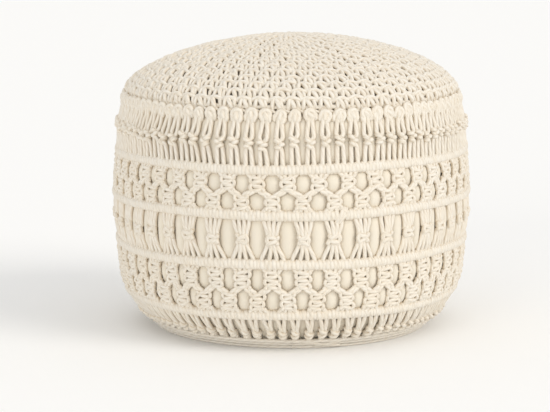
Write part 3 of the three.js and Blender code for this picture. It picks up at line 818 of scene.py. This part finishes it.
# Rounds of stitches from the rim to the middle. Each stitch is a fork of an upright and a
# slanting leg under a cap, and its round is as many stitches long as its radius allows. The rounds
# wave along the cover by sines of the angle, and a plain cord runs around the rim at their feet.
def makeCrown():
    own = crown
    high = (topAlong - rimAlong - own["start"]) / own["rounds"]
    middles = rimAlong + own["start"] + high * (np.arange(own["rounds"]) + 0.5)
    fitting = np.round(fullTurn * radiusAt(middles) / own["stitchWide"])
    counts = np.maximum(fitting, own["fewest"]).astype(int)
    inRound = np.repeat(counts, counts)
    along = np.repeat(middles, counts)[:, None]
    wide = fullTurn * radiusAt(along) / inRound[:, None]
    index = np.concatenate([np.arange(n) for n in counts])
    phase = np.repeat(own["skew"] * np.arange(own["rounds"]), counts)
    angle = (fullTurn * (index + phase) / inRound)[:, None]
    row = np.repeat(np.arange(own["rounds"]), counts)[:, None]
    inside = np.clip(row / own["fade"], 0, 1) * np.clip((own["rounds"] - 1 - row) / own["fade"], 0, 1)
    waves = sum(size * np.sin(times * angle + turned * row) for times, turned, size in own["waves"])
    along = along + own["wave"] * inside * waves
    cords = Cords(own["seed"], len(index))
    for thick, leg in stitchLegs.values():
        across, up, depth = np.array(leg).T
        across = across * wide * cords.between(*own["sizes"]) + cords.uneven(own["aside"])
        up = up * high + cords.uneven(own["upDown"])
        depth = depth + cords.uneven(own["depthUneven"])
        place = np.clip(along + up, 0, topAlong - own["hole"])
        paths = coverPlace(angle + across / np.maximum(radiusAt(along), own["narrowest"]), place, depth)
        cords.add(paths, thick, knotSides, cords.tones(own["tones"]))
    around = np.linspace(0, fullTurn, pouf["roundSteps"])[None]
    foot = coverPlace(around, rimAlong + own["footAlong"], own["footDepth"])
    cords.add(foot, own["footThick"], knotSides, 0.0)
    cords.finish("crochetCrown", "crochet_crown")


makeCrown()

# A coil is a radius and a height. A loose cord is two angles, then the radius and height at each.
# The base cords take the palest tones, painted light for the light the floor throws up under the
# belly, and they get only a share of the painted flank shade.
base = {
    "thick": 2.5, "footRadius": pouf["widest"] - pouf["inset"][0], "floorStep": 5.0, "floorStart": 0.7,
    "floorEnd": 3, "floorSteps": 72, "coils": ((169.6, 2.5), (174.0, 7.2), (178.4, 11.2)),
    "coilSteps": 160, "wobble": 0.35, "tones": (-0.9, -0.4), "creaseShare": 0.2, "seed": 17,
    "loose": ((0.02, 0.34, (178.6, 173.0), (10.6, 3.4)), (0.16, 0.46, (174.2, 180.0), (5.4, 12.4)),
              (-1.1, -0.7, (178.6, 174.6), (12.0, 6.4))),
    "looseThick": 1.9, "looseSteps": 24, "looseTone": -0.1,
}


# Cords coiled flat on the floor, with the outer coils stepping up and out, wobbling by a sine of
# three times the angle, and a few loose cords that cross between them
def makeBase():
    cords, step = Cords(base["seed"], 1), base["floorStep"]
    inner = np.arange(base["footRadius"] - step * base["floorStart"], base["floorEnd"], -step)
    for radius, height in [(radius, base["thick"]) for radius in inner] + list(base["coils"]):
        isRaised = height > base["thick"]
        around = np.linspace(0, fullTurn, base["coilSteps"] if isRaised else base["floorSteps"])
        wobble = base["wobble"] * np.sin(3 * around + radius) * isRaised
        path = roundPlace(around, radius + wobble, height)
        cords.add(path[None], base["thick"], knotSides, cords.tones(base["tones"]))
    for start, end, radii, heights in base["loose"]:
        around = np.linspace(start, end, base["looseSteps"])
        share = easeBetween(0, 1, np.linspace(0, 1, base["looseSteps"]))
        radius, height = partWay(*radii, share), partWay(*heights, share)
        path = roundPlace(around, radius, height)
        cords.add(path[None], base["looseThick"], knotSides, base["looseTone"])
    # less painted flank shade on the base cords
    for part in cords.parts:
        part["crease"] *= base["creaseShare"]
    cords.finish("coiledBase", "coiled_base")


makeBase()

cloth = {
    "pale": (0.826, 0.768, 0.662), "warm": (0.811, 0.736, 0.605), "roughness": 0.9, "sheen": 0.2,
    "threads": 9.0, "weaveDepth": 0.00005, "grain": (700.0, 3.0), "blotch": (30.0, 3.0),
}


# A plain weave: warp * weft, each a sine of one direction of the texture
def caseCloth():
    shader = Shader("caseCloth")
    place, *directions = shader.places()
    scale = cloth["threads"] * fullTurn
    threads = [shader.math("SINE", shader.math("MULTIPLY", along, scale)) for along in directions]
    weave = shader.math("MULTIPLY", *threads)
    grain = shader.bump(shader.noise(place, *cloth["grain"]), cloth["weaveDepth"])
    return shader.finish({
        "Base Color": shader.mix(shader.noise(place, *cloth["blotch"]), cloth["pale"], cloth["warm"]),
        "Normal": shader.bump(weave, cloth["weaveDepth"], grain),
        "Roughness": cloth["roughness"], "Sheen Weight": cloth["sheen"],
    })


case = {
    "columnsPerGroup": 8, "rows": 40, "bottom": 7.8, "foot": 13.0, "belowRim": 2, "underTop": 10.5,
    "rest": 0.6, "sink": 2.2, "sinkBand": (8, 4), "looseFrom": 3, "pressure": 4.0, "frames": 20, "cap": 1.5,
    "levels": 10,
}
# Rings of points inside the base and under the crown: how far from the middle, and how many
# columns of the side go into one of theirs
floorRings = ((14, 8), (40, 4), (84, 2), (126, 1), (150, 1), (168, 1))
crownRings = ((200, 1), (176, 1), (150, 1), (124, 1), (98, 1), (72, 2), (44, 4), (16, 8))
# Faces between two rings, each corner as (ring, columns past the first): squares where both
# rings have as many points, or three triangles where one of them has half as many
ringSteps = {
    "even": (((0, 0), (0, 1), (1, 1), (1, 0)),),
    "fewerAbove": (((0, 0), (0, 1), (1, 0)), ((0, 1), (1, 1), (1, 0)), ((0, 1), (0, 2), (1, 1))),
    "moreAbove": (((0, 0), (1, 1), (1, 0)), ((0, 0), (0, 1), (1, 1)), ((0, 1), (1, 2), (1, 1))),
}
# Where the case swells through the cover: the first gap and the step to the next in turns, the
# lowest and highest points, half the width in turns at the bottom, middle and top, and the swell
caseGaps = (
    (0.0, 0.5, 262, 290, (0.12, 0.11, 0.14), 3.4),  # the rim band above its small knots
    (0.0, 0.5, 230, 262, (0.11, 0.13, 0.14), 3.0),  # and below them
    (0.5, 1.0, 197, 221, (0.25, 0.30, 0.27), 5.8),  # the upper band's two rows of gaps
    (0.0, 1.0, 175, 199, (0.27, 0.30, 0.25), 5.8),
    (0.0, 1.0, 114, 167, (0.14, 0.29, 0.23), 5.4),  # the gathered band
    (0.0, 1.0, 77, 107, (0.23, 0.28, 0.25), 5.6),  # the lower band's two rows
    (0.5, 1.0, 50, 80, (0.25, 0.28, 0.23), 5.6),
    (0.0, 0.5, 13, 41, (0.14, 0.10, 0.05), 1.2),  # the hem
)
# All around, the case also stands further out behind the hem, above and below the gathered
# knots and behind the rim band: heights, and millimetres for each
caseLift = ((36, 44, 112, 118, 130, 140, 150, 158, 164, 170, 228, 238, 286, 294),
            (0.8, 0, 0, 1.0, 1.0, 0.2, 0.2, 0.8, 0.8, 0, 0, 2.2, 2.2, 0))


# The lift, and in each gap its swell times 1 - distance cubed, both upwards and to the side
def caseSwell(turn, height):
    swell = 0.0 * turn + np.interp(height, *caseLift)
    for first, step, low, high, halves, amount in caseGaps:
        level = (height - low) / (high - low)
        half = np.interp(level, (0, 0.5, 1), halves)
        aside = (turn - first + step / 2) % step - step / 2
        upDown = np.clip(1 - np.abs(2 * level - 1) ** 3, 0, 1)
        swell = swell + amount * upDown * np.clip(1 - np.abs(aside / half) ** 3, 0, 1)
    return swell


# The faces between two rings, with the share of the way around of each corner and its ring
def ringFaces(starts, counts):
    few = min(counts)
    kind = "even" if counts[0] == counts[1] else "fewerAbove" if counts[0] > counts[1] else "moreAbove"
    level, past = np.moveaxis(np.array(ringSteps[kind]), -1, 0)
    counts = np.array(counts)[level]
    column = np.arange(few)[:, None, None] * (counts // few) + past
    faces = np.array(starts)[level] + column % counts
    around, level = np.broadcast_arrays(column / counts, level)
    corners = level.shape[-1]
    return faces.reshape(-1, corners), around.reshape(-1, corners), level.reshape(-1, corners)


# Lets air pressure press the cloth out for a few frames, held back by each point's weight, and
# keeps every move under a cap
def pressOut(piece, held):
    group = piece.vertex_groups.new(name="held")
    for level in range(1, case["levels"] + 1):
        chosen = np.flatnonzero(np.round(held * case["levels"]) == level)
        group.add(chosen.tolist(), level / case["levels"], "REPLACE")
    modifier = piece.modifiers.new("airPressure", "CLOTH")
    modifier.settings.vertex_group_mass = "held"
    modifier.settings.use_pressure = True
    modifier.settings.uniform_pressure_force = case["pressure"]
    modifier.settings.effector_weights.gravity = 0
    for number in range(1, case["frames"] + 1):
        bpy.context.scene.frame_set(number)
    pressed = piece.evaluated_get(bpy.context.evaluated_depsgraph_get()).data
    before, after = np.empty((2, 3 * len(piece.data.vertices)), np.float32)
    piece.data.vertices.foreach_get("co", before)
    pressed.vertices.foreach_get("co", after)
    move = (after - before).reshape(-1, 3)
    length = np.linalg.norm(move, axis=1, keepdims=True)
    cap = case["cap"] * millimetre
    move = move * np.minimum(1, cap / np.maximum(length, 1e-9))
    piece.modifiers.remove(modifier)
    piece.data.vertices.foreach_set("co", before + move.reshape(-1))
    piece.data.update()
    bpy.context.scene.frame_set(1)
    print("case pressed out by up to %.2f mm" % (perMetre * min(length.max(), cap)))


# The rings of points of the case from the middle of its floor to the middle of its top: their
# places, how far down the cloth they lie for the texture, and how firmly each point is held
def caseRings():
    columns, unit = case["columnsPerGroup"] * pouf["groups"], sweep["textureUnit"]
    rings, drops, held = [], [], []
    for radius, share in floorRings:
        angle = angleAt(np.arange(0, columns, share) / case["columnsPerGroup"])
        rings.append(roundPlace(angle, radius, case["bottom"]))
        drops.append((radius - floorRings[-1][0]) / unit)
        held.append(np.ones(len(angle)))
    sideHeights = np.linspace(case["foot"], rimHeight - case["belowRim"], case["rows"])
    rows = [(alongAt(height), height, 1) for height in sideHeights]
    rows += [(topAlong - inner, rimHeight, share) for inner, share in crownRings]
    below, above = case["sinkBand"]
    for along, height, share in rows:
        turn = np.arange(0, columns, share) / case["columnsPerGroup"]
        swell = caseSwell(turn, height)
        sink = case["sink"] * easeBetween(rimAlong - below, rimAlong + above, along)
        rings.append(coverPlace(angleAt(turn), along, case["rest"] - sink + swell))
        drops.append(along / unit)
        held.append(np.clip(1 - swell / case["looseFrom"], 0, 1))
    return rings, drops, held


# The filled case: the profile moved in under the cover and swelling in its gaps, with its
# bottom drawn flat inside the base. A point closes it at the bottom and one at the top.
def makeCase():
    rings, drops, held = caseRings()
    counts = [len(ring) for ring in rings]
    starts = np.cumsum([0] + counts)
    poles = [[0, 0, case["bottom"]], [pouf["lean"], 0, pouf["top"] - case["underTop"]]]
    points = np.concatenate(rings + [poles])
    girth = fullTurn * pouf["widest"] / sweep["textureUnit"]
    quads, triangles, quadUv, triangleUv = [], [], [], []
    for i in range(len(rings) - 1):
        faces, around, level = ringFaces(starts[i:i + 2], counts[i:i + 2])
        isQuad = faces.shape[1] == 4
        (quads if isQuad else triangles).append(faces)
        uv = np.stack([around * girth, np.array(drops[i:i + 2])[level]], -1).reshape(-1, 2)
        (quadUv if isQuad else triangleUv).append(uv)
    k, after = np.arange(counts[0]), (np.arange(counts[0]) + 1) % counts[0]
    pole, last = starts[-1] + 0 * k, starts[-2]
    triangles += [np.stack([pole, after, k], -1), np.stack([pole + 1, last + k, last + after], -1)]
    triangleUv.append(np.zeros((6 * len(k), 2)))
    plain = np.zeros(len(points))
    part = {"points": points, "quads": np.concatenate(quads), "triangles": np.concatenate(triangles),
            "uv": np.concatenate(quadUv + triangleUv), "tone": plain, "crease": plain}
    piece = makePiece("innerCase", [part], caseCloth(), "inner_case")
    pressOut(piece, np.concatenate(held + [[1, 1]]))
    smooth = piece.modifiers.new("roundedCloth", "SUBSURF")
    smooth.levels = smooth.render_levels = 1


makeCase()


def makeStudio():
    mesh = bpy.data.meshes.new("floor")
    half = studio["floorSize"] / 2
    corners = [(-half, -half, 0), (half, -half, 0), (half, half, 0), (-half, half, 0)]
    mesh.from_pydata(corners, [], [(0, 1, 2, 3)])
    finish = {"Base Color": (*studio["floorColor"], 1), "Roughness": studio["floorRoughness"]}
    mesh.materials.append(Shader("paleFloor").finish(finish))
    floor = addObject("floor", mesh)
    world = bpy.data.worlds.new("studioSky")
    world.use_nodes = True
    sky = world.node_tree.nodes["Background"]
    sky.inputs[0].default_value = (*studio["skyColor"], 1)
    sky.inputs[1].default_value = studio["skyStrength"]
    bpy.context.scene.world = world


suns = {"keySun": {"aside": 60, "above": 33, "power": 1.09, "angle": 32},
        "frontSun": {"aside": -28, "above": 13, "power": 0.52, "angle": 30}}
sunColor = (1.0, 0.96, 0.90)


# Two wide soft suns: one from the upper right in front of the pouf, and a weak low one from the
# front left
def lightStudio():
    for name, sun in suns.items():
        data = bpy.data.lights.new(name, "SUN")
        data.energy = sun["power"]
        data.angle = math.radians(sun["angle"])
        data.color = sunColor
        light = addObject(name, data)
        aside, above = math.radians(sun["aside"]), math.radians(sun["above"])
        level = math.cos(above)
        toSun = Vector((math.sin(aside) * level, -math.cos(aside) * level, math.sin(above)))
        light.rotation_euler = toSun.to_track_quat("Z", "Y").to_euler()


makeStudio()
lightStudio()
print("studio ready")
